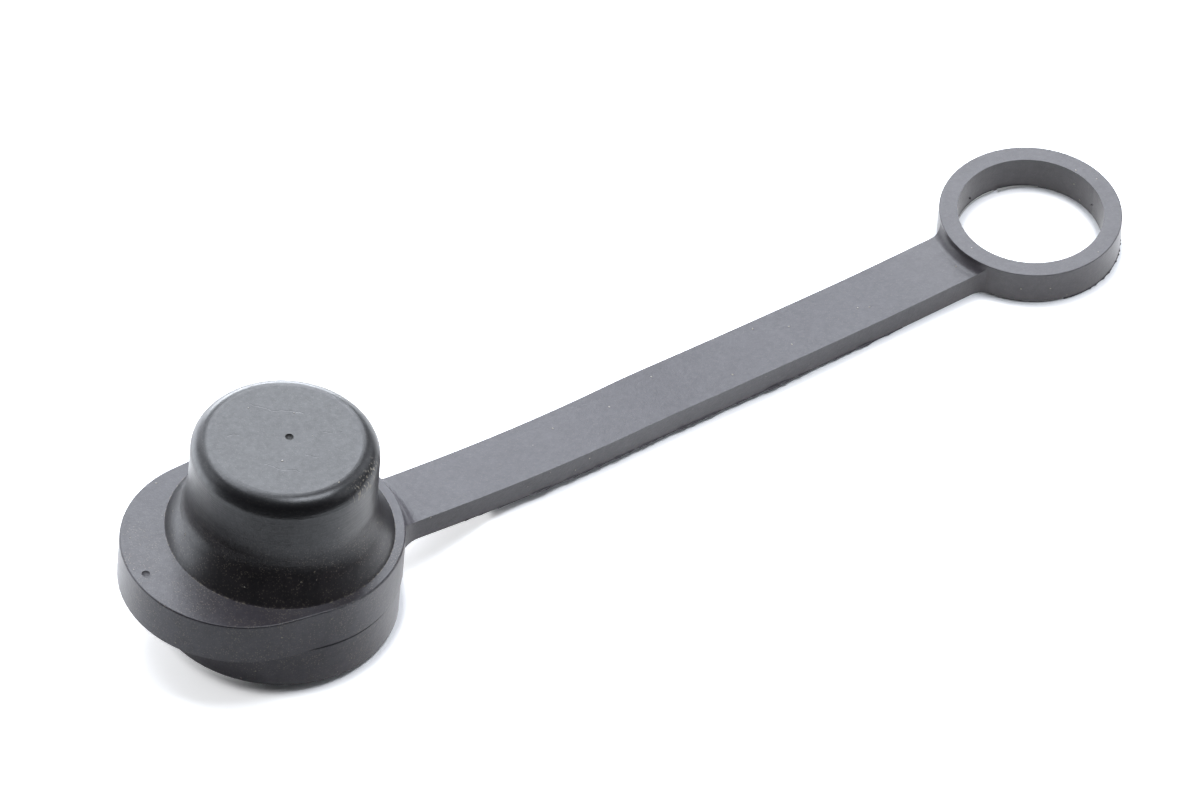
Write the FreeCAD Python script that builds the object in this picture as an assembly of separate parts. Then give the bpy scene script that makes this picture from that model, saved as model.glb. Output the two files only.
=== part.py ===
import FreeCAD, Part
import math
import os

# Rubber dust cap with a retaining strap and ring, moulded in one piece. Millimetres and degrees.
# The cap's axis is Z, its mouth lies on z = 0, the strap leaves towards +X and the pull tab points to -X.

# Cap cavity and walls
nose_bore_radius = 11.5
boss_wall = 2.1
crown_wall = 3.0
skirt_wall = 2.8
shoulder_wall = 2.3
cavity_corner = 1.5
mouth_chamfer = 0.5

# Cap outside
skirt_height = 7.1
parting_step = 0.25
parting_groove_width = 0.35
parting_groove_depth = 0.3
flange_thickness = 7.2
flange_land = 1.5
flare_spread = 2.9
flare_height = 4.9
boss_height = 17.6
boss_edge_radius = 2.7
crease_radius = 6.0
soft_edge = 0.25
fillet_bite = 0.2

# Pull tab opposite the strap
tab_reach = 5.8
tab_narrowing = 0.6

# Strap: level root, sideways bend out and a gentler one back, straight run to the ring, sag to the table
strap_width = 9.7
strap_thickness = 3.6
strap_length = 117.0
strap_root_run = 5.2
out_angle = 12.5
out_radius = 170.0
back_angle = 6.2
back_radius = 392.0
sag_run = 85.5
strap_root_fillet = 5.0
strap_root_cove = 2.8

# Retaining ring
ring_bore_radius = 10.65
ring_wall = 2.65
ring_thickness = 5.4
ring_fillet = 3.0
ring_cove = 1.5
ring_edge = 0.12

# Moulding marks: the gate on the crown, a little off its middle, and the pin mark on the tab
gate_radius = 0.6
gate_depth = 0.35
gate_offset_x = 0.7
gate_offset_y = 0.3
pin_mark_radius = 0.6
pin_mark_depth = 0.3
pin_mark_inset = 2.1
pin_mark_offset_y = 0.5

# Places that follow from the sizes above
boss_radius = nose_bore_radius + boss_wall
flare_foot_radius = boss_radius + flare_spread
flange_radius = flare_foot_radius + flange_land
skirt_radius = flange_radius - parting_step
skirt_bore_radius = skirt_radius - skirt_wall
tab_radius = flange_radius - tab_narrowing
tab_offset = tab_reach + tab_narrowing
flange_top = skirt_height + flange_thickness
crease_z = flange_top + flare_height
crown_z = flange_top + boss_height
shoulder_z = flange_top - shoulder_wall
cavity_top = crown_z - crown_wall
ring_outer_radius = ring_bore_radius + ring_wall
half_width = strap_width / 2
far_angle = out_angle - back_angle
clear = 10.0
up = FreeCAD.Vector(0, 0, 1)


def point(x, y, z=0.0):
    return FreeCAD.Vector(x, y, z)


def line(a, b):
    return Part.LineSegment(a, b).toShape()


def arc(a, mid, b):
    return Part.Arc(a, mid, b).toShape()


def unit(angle):
    """Direction at an angle, in degrees, from +X in plan."""
    turn = math.radians(angle)
    return point(math.cos(turn), math.sin(turn))


def arc_round(centre, start, end):
    """The shorter arc from start to end about a centre that is as far from both."""
    radius = start.distanceToPoint(centre)
    bisector = (start - centre) + (end - centre)
    bisector.normalize()
    return arc(start, centre + bisector * radius, end)


def corner_arc(radius, corner, before, after):
    """A rounded corner: the points where it starts and ends, and its edge."""
    to_before = (before - corner).normalize()
    to_after = (after - corner).normalize()
    half = to_before.getAngle(to_after) / 2
    start = corner + to_before * (radius / math.tan(half))
    end = corner + to_after * (radius / math.tan(half))
    bisector = (to_before + to_after).normalize()
    centre = corner + bisector * (radius / math.sin(half))
    return start, end, arc(start, centre - bisector * radius, end)


def rounded_outline(corners):
    """A closed wire through (point, radius) corners, with a round at each corner that has a radius."""
    count = len(corners)
    starts, ends, rounds = [], [], []
    for i, (corner, radius) in enumerate(corners):
        before = corners[i - 1][0]
        after = corners[(i + 1) % count][0]
        if radius > 0:
            start, end, edge = corner_arc(radius, corner, before, after)
        else:
            start, end, edge = corner, corner, None
        starts.append(start)
        ends.append(end)
        rounds.append(edge)
    edges = []
    for i in range(count):
        if rounds[i] is not None:
            edges.append(rounds[i])
        edges.append(line(ends[i], starts[(i + 1) % count]))
    return Part.Wire(edges)


def turned(profile, centre=FreeCAD.Vector(0, 0, 0)):
    """Solid turned about Z from (radius, height, round) corners."""
    corners = [(point(radius, 0, height), edge) for radius, height, edge in profile]
    solid = Part.Face(rounded_outline(corners)).revolve(point(0, 0), up, 360)
    solid.translate(centre)
    return solid


def cap_outside():
    """Skirt with its parting groove, flare and boss in one turned solid; the flange plate hides the waist."""
    waist_z = skirt_height + flange_thickness / 2
    return turned([
        (0, 0, 0),
        (skirt_radius - soft_edge, 0, 0),
        (skirt_radius, soft_edge, 0),
        (skirt_radius, skirt_height - parting_groove_width, 0),
        (skirt_radius - parting_groove_depth, skirt_height, 0),
        (skirt_radius - parting_groove_depth, waist_z, 0),
        (flare_foot_radius, waist_z, 0),
        (flare_foot_radius, flange_top, 0),
        (boss_radius, crease_z, crease_radius),
        (boss_radius, crown_z, boss_edge_radius),
        (0, crown_z, 0),
    ])


def cap_cavity():
    """The blind space inside: skirt bore with a lead-in, a taper under the flare, and the nose bore."""
    return turned([
        (0, -clear, 0),
        (skirt_bore_radius + mouth_chamfer, -clear, 0),
        (skirt_bore_radius + mouth_chamfer, 0, 0),
        (skirt_bore_radius, mouth_chamfer, 0),
        (skirt_bore_radius, shoulder_z, 0),
        (nose_bore_radius, shoulder_z + flare_height, 0),
        (nose_bore_radius, cavity_top - cavity_corner, 0),
        (nose_bore_radius - cavity_corner, cavity_top, 0),
        (0, cavity_top, 0),
    ])


def flange_plate():
    """Flange with its pull tab: the hull of the flange circle and the tab circle."""
    tab_centre = point(-tab_offset, 0)
    lean = (flange_radius - tab_radius) / tab_offset
    normal = point(-lean, math.sqrt(1 - lean * lean))
    mirrored = point(normal.x, -normal.y)
    flange_left = normal * flange_radius
    flange_right = mirrored * flange_radius
    tab_left = tab_centre + normal * tab_radius
    tab_right = tab_centre + mirrored * tab_radius
    outline = Part.Wire([
        arc(flange_right, point(flange_radius, 0), flange_left),
        line(flange_left, tab_left),
        arc(tab_left, tab_centre - point(tab_radius, 0), tab_right),
        line(tab_right, flange_right),
    ])
    outline.translate(up * skirt_height)
    plate = Part.Face(outline).extrude(up * flange_thickness)
    lower = plate.makeChamfer(soft_edge, [e for e in plate.Edges if e.BoundBox.ZMax < flange_top - soft_edge])
    return lower.makeFillet(soft_edge, [e for e in lower.Edges if e.BoundBox.ZMin > flange_top - soft_edge])


def strap_route():
    """Plan centre line as (place, heading): end of the root, of each bend, and the ring centre."""
    bent_run = math.radians(out_angle) * out_radius + math.radians(back_angle) * back_radius
    far_run = strap_length - strap_root_run - bent_run
    root_end = point(flange_radius + strap_root_run, 0)
    out_end = root_end + (unit(out_angle - 90) - unit(-90)) * out_radius
    back_end = out_end + (unit(far_angle + 90) - unit(out_angle + 90)) * back_radius
    ring_centre = back_end + unit(far_angle) * far_run
    return [(root_end, 0.0), (out_end, out_angle), (back_end, far_angle), (ring_centre, far_angle)]


def strap_side_edges(side, stations):
    """Edges of one long side of the strap in plan, from the cap to the ring; side is +1 or -1."""
    root_end, out_end, ring_centre = stations[0][0], stations[1][0], stations[-1][0]
    out_side, back_side, far_side = [place + unit(heading + 90) * (side * half_width)
                                     for place, heading in stations[:-1]]
    out_centre = root_end + point(0, out_radius)
    back_centre = out_end - unit(out_angle + 90) * back_radius

    root_reach = flange_radius - fillet_bite + strap_root_fillet
    root_rise = half_width + strap_root_fillet
    root_centre = point(math.sqrt(root_reach ** 2 - root_rise ** 2), side * root_rise)
    root_touch = root_centre * ((flange_radius - fillet_bite) / root_reach)
    root_start = point(root_centre.x, side * half_width)
    root_inside = root_centre * (skirt_bore_radius / root_reach)

    along = unit(far_angle)
    across = unit(far_angle + 90) * side
    ring_reach = ring_outer_radius - fillet_bite + ring_fillet
    ring_rise = half_width + ring_fillet
    back = math.sqrt(ring_reach ** 2 - ring_rise ** 2)
    fillet_centre = ring_centre - along * back + across * ring_rise
    ring_end = ring_centre - along * back + across * half_width
    ring_touch = fillet_centre + (ring_centre - fillet_centre) * (ring_fillet / ring_reach)

    edges = [
        line(root_inside, root_touch),
        arc_round(root_centre, root_touch, root_start),
        line(root_start, out_side),
        arc_round(out_centre, out_side, back_side),
        arc_round(back_centre, back_side, far_side),
        line(far_side, ring_end),
        arc_round(fillet_centre, ring_end, ring_touch),
        line(ring_touch, ring_centre),
    ]
    return edges, root_inside


def strap_plan(stations):
    """Plan of the strap with its flared ends, as a tall prism."""
    left, left_start = strap_side_edges(1, stations)
    right, right_start = strap_side_edges(-1, stations)
    outline = Part.Wire(Part.__sortEdges__(left + right + [line(left_start, right_start)]))
    outline.translate(up * -clear)
    return Part.Face(outline).extrude(up * (crown_z + 2 * clear))


def strap_profile(ring_x):
    """Side view of the strap as a wide prism: level at the flange, sagging in two arcs, flat on the table."""
    angle = 2 * math.atan(skirt_height / sag_run)
    radius = sag_run / (2 * math.sin(angle))
    start_x = flange_radius + strap_root_run
    middle_x = start_x + sag_run / 2
    end_x = start_x + sag_run
    low_centre = point(start_x, 0, skirt_height - radius)
    high_centre = point(end_x, 0, radius)

    def path(offset):
        """Edges of the lower (offset 0) or upper (offset thickness) face, from the cap to the ring."""
        direction = point(math.sin(angle), 0, math.cos(angle))
        begin = point(0, 0, skirt_height + offset)
        level = point(start_x, 0, skirt_height + offset)
        middle = low_centre + direction * (radius + offset)
        table = point(end_x, 0, offset)
        finish = point(ring_x, 0, offset)
        edges = [
            line(begin, level),
            arc_round(low_centre, level, middle),
            arc_round(high_centre, middle, table),
            line(table, finish),
        ]
        return edges, begin, finish

    lower, lower_begin, lower_finish = path(0.0)
    upper, upper_begin, upper_finish = path(strap_thickness)
    ends = [line(lower_begin, upper_begin), line(lower_finish, upper_finish)]
    outline = Part.Wire(Part.__sortEdges__(lower + upper + ends))
    width = 2 * strap_length
    outline.translate(point(0, -width / 2, 0))
    return Part.Face(outline).extrude(point(0, width, 0))


def cove(radius, level, wall_radius, centre):
    """Concave ring of fillet between a wall of wall_radius about centre and a floor at level."""
    inside = wall_radius - radius
    corner = point(wall_radius, 0, level)
    top = corner + up * radius
    toe = corner + point(radius, 0)
    middle = corner + (point(1, 0) + up) * (radius * (1 - math.sqrt(0.5)))
    outline = Part.Wire([
        line(point(inside, 0, level), point(inside, 0, level + radius)),
        line(point(inside, 0, level + radius), top),
        arc(top, middle, toe),
        line(toe, point(inside, 0, level)),
    ])
    ring = Part.Face(outline).revolve(point(0, 0), up, 360)
    ring.translate(centre)
    return ring


def strap():
    """The strap with its flared ends and the coves up to the flange and the ring."""
    stations = strap_route()
    ring_centre = stations[-1][0]
    plan = strap_plan(stations)
    band = plan.common(strap_profile(ring_centre.x + ring_outer_radius))
    root_cove = cove(strap_root_cove, skirt_height + strap_thickness, flange_radius, point(0, 0))
    end_cove = cove(ring_cove, strap_thickness, ring_outer_radius, ring_centre)
    return [band, plan.common(root_cove), plan.common(end_cove)], ring_centre


def ring_outside(centre):
    return turned([
        (0, 0, 0),
        (ring_outer_radius - soft_edge, 0, 0),
        (ring_outer_radius, soft_edge, 0),
        (ring_outer_radius, ring_thickness, ring_edge),
        (0, ring_thickness, 0),
    ], centre)


def ring_bore(centre):
    return turned([
        (0, -clear, 0),
        (ring_bore_radius, -clear, 0),
        (ring_bore_radius, ring_thickness + clear, 0),
        (0, ring_thickness + clear, 0),
    ], centre)


def mark(radius, depth, place):
    """Ball that leaves a round dimple of this radius and depth in a flat face at place."""
    ball_radius = (radius ** 2 + depth ** 2) / (2 * depth)
    return Part.makeSphere(ball_radius, place + up * (ball_radius - depth))


def dust_cap():
    pieces, ring_centre = strap()
    outside = cap_outside().fuse([flange_plate(), ring_outside(ring_centre)] + pieces)
    gate_place = point(gate_offset_x, gate_offset_y, crown_z)
    pin_place = point(pin_mark_inset - flange_radius - tab_reach, pin_mark_offset_y, flange_top)
    cuts = [
        cap_cavity(),
        ring_bore(ring_centre),
        mark(gate_radius, gate_depth, gate_place),
        mark(pin_mark_radius, pin_mark_depth, pin_place),
    ]
    return outside.cut(cuts).removeSplitter()


os.makedirs("parts", exist_ok=True)
part = dust_cap()
solid = part.Solids[0]
print("solids", len(part.Solids), "valid", solid.isValid(), "volume", round(solid.Volume, 1))
print("box", solid.BoundBox)
solid.exportStep("parts/dust_cap.step")
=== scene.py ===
import math
import random
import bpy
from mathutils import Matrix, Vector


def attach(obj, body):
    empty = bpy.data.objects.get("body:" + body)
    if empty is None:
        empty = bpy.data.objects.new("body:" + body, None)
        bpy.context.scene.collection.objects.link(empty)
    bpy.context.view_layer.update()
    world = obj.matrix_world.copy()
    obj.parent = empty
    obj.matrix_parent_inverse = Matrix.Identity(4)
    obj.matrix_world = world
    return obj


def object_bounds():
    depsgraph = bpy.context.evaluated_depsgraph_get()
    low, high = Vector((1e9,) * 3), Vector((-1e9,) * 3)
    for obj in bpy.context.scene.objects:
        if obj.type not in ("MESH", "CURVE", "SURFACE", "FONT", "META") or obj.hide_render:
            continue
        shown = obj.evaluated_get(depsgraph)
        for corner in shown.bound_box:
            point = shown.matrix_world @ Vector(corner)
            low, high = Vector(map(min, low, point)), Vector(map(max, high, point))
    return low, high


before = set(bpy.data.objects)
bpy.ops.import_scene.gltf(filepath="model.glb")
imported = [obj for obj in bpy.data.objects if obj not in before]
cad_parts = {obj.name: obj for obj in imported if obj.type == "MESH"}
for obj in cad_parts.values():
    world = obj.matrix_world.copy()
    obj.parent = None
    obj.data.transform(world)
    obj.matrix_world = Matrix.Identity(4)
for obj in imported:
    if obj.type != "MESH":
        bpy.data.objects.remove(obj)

from types import SimpleNamespace

import bmesh
import bpy
from mathutils import Matrix, Vector

cad_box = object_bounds()
scene = bpy.context.scene

# Camera: the photograph's viewing angle, from far away, in degrees and metres
AZIMUTH = -33.3092
ELEVATION = 44.6002
ROLL = 4.5442
TARGET = Vector((0.0617193, 0.0137184, 0.0))
DISTANCE = 4.7944
LENS = 1000.0
SENSOR = 36.0
CLIP_RANGE = (0.1, 20.0)

# Light: a dim room with paler walls, a lit backdrop, and soft boxes and cards around the object.
# Azimuths are from the camera, to its right; the boxes' sizes are angles that the object sees.
ROOM_RADIANCE = 0.04
WALL_RADIANCE = 0.16
WALL_HEIGHT = 24.0
BACKDROP_RADIANCE = 4.5
BACKDROP_AZIMUTH = 212.0
BACKDROP_HEIGHT = 16.0
BACKDROP_INNER = 50.0
BACKDROP_OUTER = 82.0
LIGHT_TINT = (0.88, 0.925, 1.0)
LIGHT_DISTANCE = 2.4
SOFTBOXES = {
    "back_softbox": dict(azimuth=188, elevation=45, width=25, height=48, radiance=7.6, roll=-38),
    "top_softbox": dict(azimuth=92, elevation=77, width=19, height=24, radiance=13.5),
    "left_softbox": dict(azimuth=242, elevation=62, width=16, height=20, radiance=6.5),
    "back_left_card": dict(azimuth=224, elevation=36, width=24, height=46, radiance=2.6),
    "back_right_card": dict(azimuth=130, elevation=38, width=26, height=34, radiance=2.0),
    "back_card": dict(azimuth=190, elevation=7, width=37, height=13, radiance=13.0),
    "right_card": dict(azimuth=86, elevation=32, width=26, height=37, radiance=1.4),
    "left_card": dict(azimuth=260, elevation=28, width=32, height=30, radiance=2.0),
}

# Paper under the part, in metres and degrees: how far it reaches from the target, as the camera sees it,
# where it falls away under the cap's front, and where it swells and sinks again under the strap
PAPER_LEFT = 0.115
PAPER_RIGHT = 1.0
PAPER_FRONT = 0.10
PAPER_BACK = 1.5
PAPER_GAP = 0.00005
PAPER_FALL_X = 0.012
PAPER_FALL_SLOPE = 4.0
PAPER_SWELL = 0.0053
PAPER_SWELL_X = ((0.0178, 0.036), (0.040, 0.095))
PAPER_SWELL_Y = ((-0.056, -0.008), (0.016, 0.064))
PAPER_FOLDS = 10
PAPER_COLOUR = (0.9, 0.9, 0.9)

# The paper's own glow: what the camera sees, but not where things come close, and what the part mirrors,
# which grows with the depth behind the cap's front
SEEN_GLOW = 0.60
CONTACT_DISTANCE = 0.0022
CONTACT_SPAN = (0.60, 0.97)
CONTACT_SAMPLES = 8
MIRRORED_GLOWS = (0.02, 0.70)
MIRRORED_SPAN = (0.068, 0.048)

# Places on the part that the finish follows, in millimetres and degrees
MM = 0.001
FLARE_FOOT_RADIUS = 16.5
FLANGE_TOP = 14.3
CREASE_Z = 19.2
CROWN_Z = 31.9
RING_CENTRE = (133.9215, 14.498)
RING_BORE = 10.65
RING_WALL = 2.65
GATE = (0.7, 0.3, CROWN_Z)
PIN_MARK = (-21.7, 0.5, FLANGE_TOP)
CROWN_SCRATCHES = (
    ((-1.2, 8.6), (4.6, 3.6)),
    ((0.9, -4.0), (2.6, -4.9)),
    ((-7.4, 4.2), (-6.0, 3.5)),
    ((5.2, -1.4), (8.0, -2.2)),
    ((-4.8, -3.0), (-1.6, -6.4)),
)

# Spans over which a finish fades in, from none to full, in the same units
BOSS_RADIUS_SPAN = (FLARE_FOOT_RADIUS + 0.3, FLARE_FOOT_RADIUS - 0.1)
BOSS_FOOT_SPAN = (FLANGE_TOP - 0.05, FLANGE_TOP + 0.3)
WALL_FOOT_SPAN = (CREASE_Z - 1.0, CREASE_Z + 1.0)
WALL_TOP_SPAN = (CROWN_Z - 0.5, CROWN_Z - 2.5)
CREASE_FOOT_SPAN = (CREASE_Z - 3.5, CREASE_Z - 0.5)
CREASE_TOP_SPAN = (CREASE_Z + 4.0, CREASE_Z + 0.5)
CAP_SPAN = (26.0, 24.0)
RING_SPAN = (105.0, 122.0)
DUSTY_SIDE = (-0.5, -0.86, 0.0)
DUSTY_SIDE_SPAN = (-6.0, 6.0)
DUSTY_TOP_SPAN = (CROWN_Z - 6.0, CREASE_Z)
FOOT_DUST_SPAN = (0.18, 0.04)
FOOT_DUST_RISE = (0.3, 0.1)
SCUFF_ANGLE_SPANS = ((-80.0, -66.0), (-36.0, -46.0))
SCUFF_HEIGHT_SPANS = ((27.6, 29.6), (31.7, 30.9))
GATE_SPAN = (0.75, 0.5)
PIN_SPAN = (0.9, 0.5)

# Rubber: smooth on the boss and flare, matt and a little dusty elsewhere
SMOOTH_COLOURS = ((0.0060, 0.0055, 0.0062), (0.0100, 0.0094, 0.0104))
MATT_COLOURS = ((0.0300, 0.0265, 0.0325), (0.0390, 0.0350, 0.0420))
# The ring is lighter and warmer: partly its own tone, partly painted light for the bright paper its walls
# mirror
RING_COLOUR = (0.0600, 0.0540, 0.0580)
RING_COLOUR_SHARE = 0.75
DUST_COLOUR = (0.42, 0.37, 0.28)
FILM_COLOUR = (0.0310, 0.0255, 0.0270)
SCUFF_COLOUR = (0.30, 0.27, 0.22)
GATE_COLOUR = (0.014, 0.013, 0.012)
# The pin mark's pale colour is painted light that lifts the shade in its dimple
PIN_COLOUR = (0.060, 0.056, 0.060)
# Pale grey of the ring's flash lips: partly dust, partly painted light where the ring's wall shades them
TORN_COLOUR = (0.45, 0.44, 0.42)
TORN_ROUGHNESS = 0.7
SMOOTH_SPECULAR = 0.54
MATT_SPECULAR = 0.47
# Less shine in the crease at the boss's foot, as painted shade
CREASE_SPECULAR = 0.30
MOTTLE_SPECULAR = (0.90, 1.10)
SMOOTH_ROUGHNESS = 0.32
MATT_ROUGHNESS = 0.35
RUB_ROUGHNESS = 0.10
TURNING_ROUGHNESS = 0.12
WORN_ROUGHNESS = 0.35
MARK_WEAR = 0.6

# Textures: scales are per millimetre, specks are in millimetres, and spans are of the noise's own value
MOTTLE = dict(scale=1.1, detail=5.0, roughness=0.65)
MOTTLE_SPAN = (0.3, 0.7)
PATCHES = dict(scale=0.14, detail=3.0)
RUB = dict(scale=0.35, detail=4.0)
TURNING = dict(scale=1.0, detail=3.0)
TURNING_STRETCH = (0.06, 0.06, 3.2)
GRAIN = dict(scale=2.3, detail=4.0)
MARK_GRAIN = dict(scale=5.0, detail=2.0)
SPECK_CORE = 0.5
SPECK_WAVE = dict(scale=2.5, output="Color")
SPECK_WAVE_REACH = 0.3
DUST_GRAINS = dict(spacing=2.6, radius=0.17, share=0.75)
DUST_GRAIN_STRENGTH = 0.45
FINE_DUST = dict(spacing=0.30, radius=0.12, share=0.65)
FINE_DUST_STRENGTH = 0.03
BLOOM_STRENGTH = 0.16
CLOUDS = dict(scale=0.3, detail=3.0)
CLOUD_SPAN = (0.36, 0.62)
CLOUD_LEVELS = (0.25, 1.0)
FILM_SHARES = (0.25, 0.5)
FOOT_DUST = dict(scale=1.6)
FOOT_DUST_LIMITS = (0.46, 0.70)
FOOT_DUST_STRENGTH = 0.30
STROKES = dict(scale=1.0, detail=1.0)
STROKE_STRETCH = (2.6, 2.6, 0.9)
STROKE_SPAN = (0.57, 0.66)
SCUFF_STRENGTH = 0.8
SCRATCH_WAVE = dict(scale=0.3, output="Color")
SCRATCH_WAVE_REACH = 2.5
SCRATCH_WIDTH = 0.10
SCRATCH_CORE = 0.3

# Relief: the grain's height in metres, and the other heights as shares of it
GRAIN_HEIGHT = 0.000026
SMOOTH_GRAIN = 0.5
TURNING_HEIGHT = 1.2
DUST_GRAIN_HEIGHT = 2.5
SCRATCH_DEPTH = 0.5

# Moulding flash, in millimetres and degrees. A section has two roots, sunk into the rubber, and a tip.
# Heights are of the upper root, the lower root and the tip; a reach is how far the tip stands out.
RING_SINK = 0.1
LIP_HEIGHTS = (0.24, 0.03, 0.18)
LIP_STEP = 3.0
RING_LIPS = {
    "ring_lip": dict(first=85.0, last=52.0, start_width=0.55, end_width=0.12),
    "ring_lip_left": dict(first=88.0, last=146.0, start_width=0.32, end_width=0.12),
}
LEAST_REACH = 0.02
RING_FLASH_FIRST = -98.0
RING_FLASH_STEP = 1.6
RING_FLASH_COUNT = 46
RING_FLASH_HEIGHTS = (0.25, 0.03, 0.08)
RING_FLASH_REACHES = (0.0, 0.03, 0.06, 0.16)
STRAP_EDGE = (27.0, 112.0)
STRAP_UNDER_NORMAL = -0.8
STRAP_SIDE_NORMAL = -0.6
STRAP_SINK = 0.05
STRAP_FLASH_STEP = 0.5
STRAP_FLASH_HEIGHTS = (0.18, 0.02, 0.06)
STRAP_FLASH_REACHES = (0.0, 0.04, 0.08, 0.30)
STRAP_FLASH_CARRY = 0.55
TORN_BITS = ((129.8, 24.3, 1.3), (144.6, 14.6, 1.9))
TORN_SIZE = 0.34
TORN_REACHES = (0.6, 1.1)
CHANCE_SEED = 7


def direction(azimuth, elevation):
    """Unit vector from the object towards a place at this azimuth and elevation, in degrees."""
    a, e = math.radians(azimuth), math.radians(elevation)
    return Vector((math.sin(a) * math.cos(e), -math.cos(a) * math.cos(e), math.sin(e)))


def aimed(back, roll=0.0):
    """Rotation whose local Z is back and whose local X is level, then rolled about Z."""
    right = Vector((0, 0, 1)).cross(back).normalized()
    up = back.cross(right)
    turn = Matrix((right, up, back)).transposed()
    return turn @ Matrix.Rotation(math.radians(roll), 3, "Z")


def link(obj):
    scene.collection.objects.link(obj)
    return obj


def make_camera():
    data = bpy.data.cameras.new("photo_camera")
    data.lens = LENS
    data.sensor_width = SENSOR
    data.clip_start, data.clip_end = CLIP_RANGE
    camera = link(bpy.data.objects.new("photo_camera", data))
    back = direction(AZIMUTH, ELEVATION)
    camera.matrix_world = Matrix.Translation(TARGET + back * DISTANCE) @ aimed(back, ROLL).to_4x4()
    scene.camera = camera


def make_softbox(name, azimuth, elevation, width, height, radiance, roll=0.0):
    """A soft box that spans these angles; its radiance is what a mirror of it shows, with 1 for white."""
    data = bpy.data.lights.new(name, "AREA")
    data.shape = "RECTANGLE"
    data.size = 2 * LIGHT_DISTANCE * math.tan(math.radians(width / 2))
    data.size_y = 2 * LIGHT_DISTANCE * math.tan(math.radians(height / 2))
    data.energy = radiance * math.pi * data.size * data.size_y
    data.color = LIGHT_TINT
    light = link(bpy.data.objects.new(name, data))
    back = direction(AZIMUTH + azimuth, elevation)
    light.matrix_world = Matrix.Translation(TARGET + back * LIGHT_DISTANCE) @ aimed(back, roll).to_4x4()
    light.visible_camera = False


class Nodes:
    """Short calls for building one node tree; sockets or plain numbers go in, output sockets come out."""

    def __init__(self, tree):
        self.tree = tree

    def add(self, kind, **settings):
        made = self.tree.nodes.new(kind)
        for key, value in settings.items():
            setattr(made, key, value)
        return made

    def feed(self, socket, value):
        if isinstance(value, bpy.types.NodeSocket):
            self.tree.links.new(value, socket)
        else:
            socket.default_value = value

    def math(self, operation, *values):
        made = self.add("ShaderNodeMath", operation=operation)
        for socket, value in zip(made.inputs, values):
            self.feed(socket, value)
        return made.outputs[0]

    def product(self, first, *others):
        for other in others:
            first = self.math("MULTIPLY", first, other)
        return first

    def vector(self, operation, *values):
        made = self.add("ShaderNodeVectorMath", operation=operation)
        for socket, value in zip(made.inputs, values):
            self.feed(socket, value)
        return made.outputs["Value" if operation in ("DOT_PRODUCT", "LENGTH", "DISTANCE") else "Vector"]

    def scaled(self, vector, factor):
        made = self.add("ShaderNodeVectorMath", operation="SCALE")
        self.feed(made.inputs[0], vector)
        self.feed(made.inputs["Scale"], factor)
        return made.outputs["Vector"]

    def ramp(self, value, start, end, low=0.0, high=1.0):
        """Smooth step from low at start to high at end; start may be the larger one."""
        made = self.add("ShaderNodeMapRange", interpolation_type="SMOOTHSTEP")
        self.feed(made.inputs["Value"], value)
        self.feed(made.inputs["From Min"], start)
        self.feed(made.inputs["From Max"], end)
        self.feed(made.inputs["To Min"], low)
        self.feed(made.inputs["To Max"], high)
        return made.outputs["Result"]

    def noise(self, vector, scale, detail=2.0, roughness=0.5, output="Fac"):
        made = self.add("ShaderNodeTexNoise")
        self.feed(made.inputs["Vector"], vector)
        self.feed(made.inputs["Scale"], scale)
        self.feed(made.inputs["Detail"], detail)
        self.feed(made.inputs["Roughness"], roughness)
        return made.outputs[output]

    def specks(self, vector, spacing, radius, share):
        """Grains of about this radius, one to a cell of this spacing, in a share of the cells."""
        made = self.add("ShaderNodeTexVoronoi")
        self.feed(made.inputs["Vector"], vector)
        self.feed(made.inputs["Scale"], 1.0 / spacing)
        near = self.ramp(made.outputs["Distance"], radius / spacing, SPECK_CORE * radius / spacing)
        channel = self.add("ShaderNodeSeparateColor")
        self.feed(channel.inputs[0], made.outputs["Color"])
        kept = self.math("LESS_THAN", channel.outputs[0], share)
        return self.product(near, kept)

    def mix(self, factor, first, second):
        made = self.add("ShaderNodeMix", data_type="RGBA")
        sockets = [s for s in made.inputs if s.enabled]
        for socket, value in zip(sockets, (factor, first, second)):
            self.feed(socket, (*value, 1) if isinstance(value, tuple) else value)
        return next(s for s in made.outputs if s.enabled)


def make_world():
    """A dim room with a lit backdrop behind the object; the camera itself sees plain white."""
    world = bpy.data.worlds.new("studio")
    scene.world = world
    world.use_nodes = True
    world.node_tree.nodes.clear()
    n = Nodes(world.node_tree)
    look = n.add("ShaderNodeTexCoord").outputs["Generated"]
    behind = n.vector("DOT_PRODUCT", look, direction(AZIMUTH + BACKDROP_AZIMUTH, 0))
    level = n.vector("DOT_PRODUCT", look, (0, 0, 1))
    outer, inner = [math.cos(math.radians(angle)) for angle in (BACKDROP_OUTER, BACKDROP_INNER)]
    backdrop_top, wall_top = [math.sin(math.radians(angle)) for angle in (BACKDROP_HEIGHT, WALL_HEIGHT)]
    backdrop = n.product(n.ramp(behind, outer, inner), n.ramp(level, backdrop_top, 0.0))
    room = n.ramp(level, wall_top, 0.0, ROOM_RADIANCE, WALL_RADIANCE)
    light = n.add("ShaderNodeBackground")
    light.inputs["Color"].default_value = (*LIGHT_TINT, 1)
    n.feed(light.inputs["Strength"], n.math("MULTIPLY_ADD", backdrop, BACKDROP_RADIANCE, room))
    white = n.add("ShaderNodeBackground")
    white.inputs["Color"].default_value = (1, 1, 1, 1)
    seen = n.add("ShaderNodeMixShader")
    n.feed(seen.inputs["Fac"], n.add("ShaderNodeLightPath").outputs["Is Camera Ray"])
    n.feed(seen.inputs[1], light.outputs[0])
    n.feed(seen.inputs[2], white.outputs[0])
    n.feed(n.add("ShaderNodeOutputWorld").inputs["Surface"], seen.outputs[0])


def smooth_step(value, start, end):
    t = min(1.0, max(0.0, (value - start) / (end - start)))
    return t * t * (3 - 2 * t)


def swell(value, spans):
    """0 to 1 over the first span and back to 0 over the second."""
    rise, sink = spans
    return smooth_step(value, *rise) * (1 - smooth_step(value, *sink))


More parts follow.
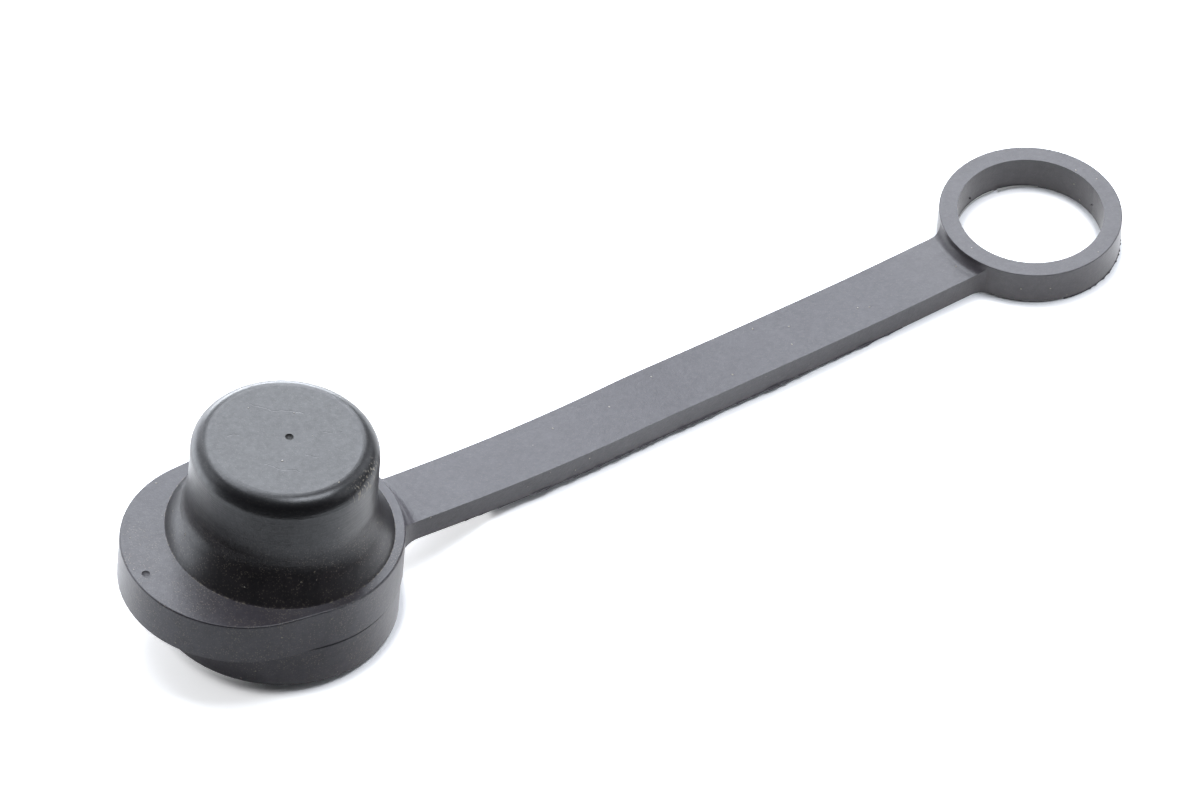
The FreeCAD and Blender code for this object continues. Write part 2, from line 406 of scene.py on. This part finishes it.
def paper_height(x, y):
    """The paper falls away under the cap's front edge and rises in a low swell under the strap."""
    fall = max(0.0, PAPER_FALL_X - x) * math.tan(math.radians(PAPER_FALL_SLOPE))
    return PAPER_SWELL * swell(x, PAPER_SWELL_X) * swell(y, PAPER_SWELL_Y) - fall


def paper_mesh():
    """A sheet that is square to the camera's view, cut into strips where it bends."""
    corners = [(-PAPER_LEFT, -PAPER_FRONT, 0), (PAPER_RIGHT, -PAPER_FRONT, 0),
               (PAPER_RIGHT, PAPER_BACK, 0), (-PAPER_LEFT, PAPER_BACK, 0)]
    turn = Matrix.Translation((TARGET.x, TARGET.y, 0)) @ Matrix.Rotation(math.radians(AZIMUTH), 4, "Z")
    sheet = bmesh.new()
    sheet.faces.new([sheet.verts.new(turn @ Vector(corner)) for corner in corners])
    along, across = Vector((1, 0, 0)), Vector((0, 1, 0))
    folds = [(along, PAPER_FALL_X)]
    for axis, spans in ((along, PAPER_SWELL_X), (across, PAPER_SWELL_Y)):
        for start, end in spans:
            folds += [(axis, start + (end - start) * k / PAPER_FOLDS) for k in range(PAPER_FOLDS + 1)]
    for axis, place in folds:
        geometry = sheet.verts[:] + sheet.edges[:] + sheet.faces[:]
        bmesh.ops.bisect_plane(sheet, geom=geometry, plane_co=axis * place, plane_no=axis)
    for corner in sheet.verts:
        corner.co.z = cad_box[0].z - PAPER_GAP + paper_height(corner.co.x, corner.co.y)
    for face in sheet.faces:
        face.smooth = True
    mesh = bpy.data.meshes.new("floor")
    sheet.to_mesh(mesh)
    sheet.free()
    return mesh


def paper_material():
    """White paper with a glow of its own for the camera and for mirrors, so that it shows as white."""
    material = bpy.data.materials.new("floor_white")
    material.use_nodes = True
    material.node_tree.nodes.clear()
    n = Nodes(material.node_tree)
    paper = n.add("ShaderNodeBsdfDiffuse")
    paper.inputs["Color"].default_value = (*PAPER_COLOUR, 1)
    path = n.add("ShaderNodeLightPath")
    mirrored = n.math("MAXIMUM", path.outputs["Is Glossy Ray"], path.outputs["Is Transmission Ray"])
    coords = n.add("ShaderNodeTexCoord").outputs["Object"]
    forward = n.vector("DOT_PRODUCT", n.vector("SUBTRACT", coords, TARGET), direction(AZIMUTH, 0))
    mirrored_glow = n.product(mirrored, n.ramp(forward, *MIRRORED_SPAN, *MIRRORED_GLOWS))
    open_sky = n.add("ShaderNodeAmbientOcclusion", samples=CONTACT_SAMPLES)
    open_sky.inputs["Distance"].default_value = CONTACT_DISTANCE
    seen_glow = n.product(path.outputs["Is Camera Ray"],
                          n.ramp(open_sky.outputs["AO"], *CONTACT_SPAN, 0.0, SEEN_GLOW))
    glow = n.add("ShaderNodeEmission")
    n.feed(glow.inputs["Strength"], n.math("ADD", seen_glow, mirrored_glow))
    both = n.add("ShaderNodeAddShader")
    n.feed(both.inputs[0], paper.outputs[0])
    n.feed(both.inputs[1], glow.outputs[0])
    n.feed(n.add("ShaderNodeOutputMaterial").inputs["Surface"], both.outputs[0])
    return material


def make_floor():
    mesh = paper_mesh()
    mesh.materials.append(paper_material())
    floor = link(bpy.data.objects.new("floor", mesh))


def rubber_zones(n):
    """A shaded point's place, in millimetres and degrees, and masks of 0 to 1 for areas of the part."""
    place = n.scaled(n.add("ShaderNodeTexCoord").outputs["Object"], 1 / MM)
    xyz = n.add("ShaderNodeSeparateXYZ")
    n.feed(xyz.inputs[0], place)
    x, y, z = xyz.outputs
    flat = n.vector("MULTIPLY", place, (1, 1, 0))
    radius = n.vector("LENGTH", flat)
    on_boss = n.product(n.ramp(radius, *BOSS_RADIUS_SPAN), n.ramp(z, *BOSS_FOOT_SPAN))
    return SimpleNamespace(
        place=place,
        z=z,
        flat=flat,
        radius=radius,
        angle=n.math("MULTIPLY", n.math("ARCTAN2", y, x), math.degrees(1)),
        on_boss=on_boss,
        on_wall=n.product(on_boss, n.ramp(z, *WALL_FOOT_SPAN), n.ramp(z, *WALL_TOP_SPAN)),
        in_crease=n.product(on_boss, n.ramp(z, *CREASE_FOOT_SPAN), n.ramp(z, *CREASE_TOP_SPAN)),
        on_cap=n.ramp(radius, *CAP_SPAN),
        at_ring=n.ramp(x, *RING_SPAN),
    )


def dust_masks(n, at):
    """Single grains everywhere, all dust, and the film that lies on the front of the flare and flange."""
    wave = n.scaled(n.noise(at.place, **SPECK_WAVE), SPECK_WAVE_REACH)
    bent = n.vector("ADD", at.place, wave)
    grains = n.specks(bent, **DUST_GRAINS)
    to_front = n.vector("DOT_PRODUCT", at.flat, DUSTY_SIDE)
    dusty = n.product(n.ramp(to_front, *DUSTY_SIDE_SPAN), at.on_cap, n.ramp(at.z, *DUSTY_TOP_SPAN))
    clouds = n.ramp(n.noise(at.place, **CLOUDS), *CLOUD_SPAN, *CLOUD_LEVELS)
    bloom = n.math("MULTIPLY_ADD", dusty, n.product(clouds, BLOOM_STRENGTH), FINE_DUST_STRENGTH)
    fine = n.product(n.specks(bent, **FINE_DUST), bloom)
    from_foot = n.math("ABSOLUTE", n.math("SUBTRACT", at.radius, FLARE_FOOT_RADIUS))
    from_top = n.math("ABSOLUTE", n.math("SUBTRACT", at.z, FLANGE_TOP))
    broken = n.ramp(n.noise(at.place, **FOOT_DUST), *FOOT_DUST_LIMITS, 0.0, FOOT_DUST_STRENGTH)
    foot = n.product(n.ramp(from_foot, *FOOT_DUST_SPAN), n.ramp(from_top, *FOOT_DUST_RISE), broken)
    dust = n.math("MAXIMUM", n.product(grains, DUST_GRAIN_STRENGTH), n.math("MAXIMUM", fine, foot))
    film = n.product(dusty, n.ramp(clouds, *CLOUD_LEVELS, *FILM_SHARES))
    return grains, dust, film


def scuff_mask(n, at):
    """Short upright strokes on the rounded edge of the boss, on the strap's side."""
    there = n.product(*[n.ramp(at.angle, *span) for span in SCUFF_ANGLE_SPANS],
                      *[n.ramp(at.z, *span) for span in SCUFF_HEIGHT_SPANS])
    stretched = n.vector("MULTIPLY", at.place, STROKE_STRETCH)
    strokes = n.ramp(n.noise(stretched, **STROKES), *STROKE_SPAN)
    return n.product(there, strokes, at.on_boss, SCUFF_STRENGTH)


def segment_mask(n, place, start, end):
    """1 on the straight line from start to end on the crown, 0 past a scratch's width from it."""
    a = Vector((*start, CROWN_Z))
    run = Vector((*end, CROWN_Z)) - a
    offset = n.vector("SUBTRACT", place, a)
    along = n.product(n.vector("DOT_PRODUCT", offset, run), 1.0 / run.length_squared)
    held = n.math("MINIMUM", n.math("MAXIMUM", along, 0.0), 1.0)
    nearest = n.scaled(run, held)
    return n.ramp(n.vector("DISTANCE", offset, nearest), SCRATCH_WIDTH, SCRATCH_CORE * SCRATCH_WIDTH)


def scratch_mask(n, at):
    """Fine wavy scratches on the crown."""
    wave = n.vector("SUBTRACT", n.noise(at.place, **SCRATCH_WAVE), (0.5, 0.5, 0.5))
    level_wave = n.vector("MULTIPLY", n.scaled(wave, SCRATCH_WAVE_REACH), (1, 1, 0))
    wavy = n.vector("ADD", at.place, level_wave)
    scratch = 0.0
    for start, end in CROWN_SCRATCHES:
        scratch = n.math("MAXIMUM", scratch, segment_mask(n, wavy, start, end))
    return scratch


def rubber_material():
    """Black moulded rubber: grain, turning marks on the boss, dust, scuffs and scratches."""
    material = bpy.data.materials.new("black_rubber")
    material.use_nodes = True
    n = Nodes(material.node_tree)
    shader = material.node_tree.nodes["Principled BSDF"]
    at = rubber_zones(n)
    grains, dust, film = dust_masks(n, at)
    scuff = scuff_mask(n, at)
    scratch = scratch_mask(n, at)
    gate = n.ramp(n.vector("DISTANCE", at.place, GATE), *GATE_SPAN)
    pin = n.ramp(n.vector("DISTANCE", at.place, PIN_MARK), *PIN_SPAN)
    marks = n.math("MAXIMUM", gate, pin)
    turning = n.noise(n.vector("MULTIPLY", at.place, TURNING_STRETCH), **TURNING)

    # Colour in soft patches, under film, dust, scuffs and the two moulding marks
    patches = n.noise(at.place, **PATCHES)
    matt = n.mix(patches, *MATT_COLOURS)
    # Lighter ring: partly its own warmer tone, partly painted light
    matt = n.mix(n.product(at.at_ring, RING_COLOUR_SHARE), matt, RING_COLOUR)
    colour = n.mix(at.on_boss, matt, n.mix(patches, *SMOOTH_COLOURS))
    # The pin mark's colour is painted light in its dimple's shade
    layers = ((film, FILM_COLOUR), (dust, DUST_COLOUR), (scuff, SCUFF_COLOUR), (gate, GATE_COLOUR),
              (pin, PIN_COLOUR))
    for mask, layer_colour in layers:
        colour = n.mix(mask, colour, layer_colour)
    n.feed(shader.inputs["Base Color"], colour)

    # Shine, less of it in the crease as painted shade, and mottled
    shine = n.ramp(at.on_boss, 0.0, 1.0, MATT_SPECULAR, SMOOTH_SPECULAR)
    shine = n.math("MULTIPLY_ADD", at.in_crease, CREASE_SPECULAR - SMOOTH_SPECULAR, shine)
    mottle = n.ramp(n.noise(at.place, **MOTTLE), *MOTTLE_SPAN, *MOTTLE_SPECULAR)
    n.feed(shader.inputs["Specular IOR Level"], n.product(shine, mottle))

    # Roughness, more of it where the rubber is worn or dusty
    rough = n.ramp(at.on_boss, 0.0, 1.0, MATT_ROUGHNESS, SMOOTH_ROUGHNESS)
    rub = n.math("SUBTRACT", n.noise(at.place, **RUB), 0.5)
    rough = n.math("MULTIPLY_ADD", rub, RUB_ROUGHNESS, rough)
    turned = n.product(n.math("SUBTRACT", turning, 0.5), at.on_wall)
    rough = n.math("MULTIPLY_ADD", turned, TURNING_ROUGHNESS, rough)
    worn = n.math("MAXIMUM", n.math("MAXIMUM", dust, scuff), n.product(marks, MARK_WEAR))
    rough = n.math("MULTIPLY_ADD", worn, WORN_ROUGHNESS, rough)
    n.feed(shader.inputs["Roughness"], rough)

    # Relief
    height = n.product(n.noise(at.place, **GRAIN), n.ramp(at.on_boss, 0.0, 1.0, 1.0, SMOOTH_GRAIN))
    height = n.math("MULTIPLY_ADD", n.product(turning, at.on_wall), TURNING_HEIGHT, height)
    height = n.math("MULTIPLY_ADD", grains, DUST_GRAIN_HEIGHT, height)
    height = n.math("MULTIPLY_ADD", scratch, -SCRATCH_DEPTH, height)
    height = n.math("MULTIPLY_ADD", marks, n.noise(at.place, **MARK_GRAIN), height)
    bump = n.add("ShaderNodeBump")
    bump.inputs["Distance"].default_value = GRAIN_HEIGHT
    n.feed(bump.inputs["Height"], height)
    n.feed(shader.inputs["Normal"], bump.outputs["Normal"])
    return material


def torn_material():
    """The torn skin of the flash in the ring's hole, pale grey: partly dust, partly painted light on
    flash that the ring's wall shades.
    """
    material = bpy.data.materials.new("torn_rubber")
    material.use_nodes = True
    shader = material.node_tree.nodes["Principled BSDF"]
    shader.inputs["Base Color"].default_value = (*TORN_COLOUR, 1)
    shader.inputs["Roughness"].default_value = TORN_ROUGHNESS
    return material


def rubber_piece(name, points, faces, material):
    """A closed piece that rides on the part, from points in millimetres and faces in any winding."""
    mesh = bpy.data.meshes.new(name)
    mesh.from_pydata([Vector(point) * MM for point in points], [], faces)
    shell = bmesh.new()
    shell.from_mesh(mesh)
    bmesh.ops.recalc_face_normals(shell, faces=shell.faces)
    shell.to_mesh(mesh)
    shell.free()
    mesh.materials.append(material)
    piece = link(bpy.data.objects.new(name, mesh))
    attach(piece, "root")


def sliver(name, sections, material):
    """A closed thin piece of flash: a triangle of two roots and a tip at each section, joined up."""
    points = [point for section in sections for point in section]
    faces = [(0, 1, 2), (len(points) - 3, len(points) - 2, len(points) - 1)]
    for k in range(0, len(points) - 3, 3):
        for a, b in ((0, 1), (1, 2), (2, 0)):
            faces.append((k + a, k + b, k + b + 3, k + a + 3))
    rubber_piece(name, points, faces, material)


def ring_section(angle, root, tip, heights):
    """A section of flash on the ring at this angle, with the radii of its roots and its tip."""
    a = math.radians(angle)
    return [Vector((RING_CENTRE[0] + radius * math.cos(a), RING_CENTRE[1] + radius * math.sin(a), z))
            for radius, z in zip((root, root, tip), heights)]


def ring_lip(name, first, last, start_width, end_width, material):
    """A flat lip of flash on the bottom edge of the ring's hole, between two angles."""
    sections = []
    count = max(2, round(abs(last - first) / LIP_STEP))
    for k in range(count + 1):
        t = k / count
        angle = first + (last - first) * t
        width = start_width + (end_width - start_width) * t
        sections.append(ring_section(angle, RING_BORE + RING_SINK, RING_BORE - width, LIP_HEIGHTS))
    sliver(name, sections, material)


def torn_bit(name, centre, chance, material):
    """A torn crumb of rubber: a small eight-sided lump, uneven and half sunk into the wall."""
    points = []
    for axis in range(3):
        for sign in (-1, 1):
            reach = Vector((0, 0, 0))
            reach[axis] = sign * TORN_SIZE * chance.uniform(*TORN_REACHES)
            points.append(Vector(centre) + reach)
    faces = [(a, b, c) for a in (0, 1) for b in (2, 3) for c in (4, 5)]
    rubber_piece(name, points, faces, material)


def strap_edge(mesh):
    """The strap's lower edge on its near side, as points in millimetres from the cap to the ring."""
    under, beside = set(), set()
    for face in mesh.polygons:
        corners = [tuple(round(c / MM, 4) for c in mesh.vertices[v].co) for v in face.vertices]
        if face.normal.z < STRAP_UNDER_NORMAL:
            under.update(corners)
        elif face.normal.y < STRAP_SIDE_NORMAL:
            beside.update(corners)
    first, last = STRAP_EDGE
    return [Vector(point) for point in sorted(under & beside) if first < point[0] < last]


def strap_flash(edge, chance, material):
    """Ragged flash along the strap's lower edge; each reach carries on a share of the one before it."""
    sections = []
    reach = 0.0
    for a, b in zip(edge, edge[1:]):
        along = b - a
        out = Vector((along.y, -along.x, 0)).normalized()
        steps = max(1, round(along.length / STRAP_FLASH_STEP))
        for k in range(steps):
            root = a + along * (k / steps)
            fresh = chance.choice(STRAP_FLASH_REACHES)
            reach = STRAP_FLASH_CARRY * reach + (1 - STRAP_FLASH_CARRY) * fresh
            offsets = (-STRAP_SINK, -STRAP_SINK, LEAST_REACH + reach)
            sections.append([root + out * offset + Vector((0, 0, z))
                             for offset, z in zip(offsets, STRAP_FLASH_HEIGHTS)])
    sliver("strap_flash", sections, material)


def ring_flash(chance, material):
    """Ragged flash along the ring's lower outer edge at the front."""
    rim = RING_BORE + RING_WALL
    sections = []
    for k in range(RING_FLASH_COUNT):
        angle = RING_FLASH_FIRST + RING_FLASH_STEP * k
        tip = rim + LEAST_REACH + chance.choice(RING_FLASH_REACHES)
        sections.append(ring_section(angle, rim - RING_SINK, tip, RING_FLASH_HEIGHTS))
    sliver("ring_flash", sections, material)


make_camera()
make_world()
make_floor()
for name, settings in SOFTBOXES.items():
    make_softbox(name, **settings)
rubber = rubber_material()
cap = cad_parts["dust_cap"]
cap.data.materials.clear()
cap.data.materials.append(rubber)
chance = random.Random(CHANCE_SEED)
torn = torn_material()
for name, lip in RING_LIPS.items():
    ring_lip(name, material=torn, **lip)
for number, centre in enumerate(TORN_BITS):
    torn_bit("torn_bit_%d" % (number + 1), centre, chance, rubber)
strap_flash(strap_edge(cap.data), chance, rubber)
ring_flash(chance, rubber)
scene.view_settings.view_transform = "Standard"

bpy.context.view_layer.update()
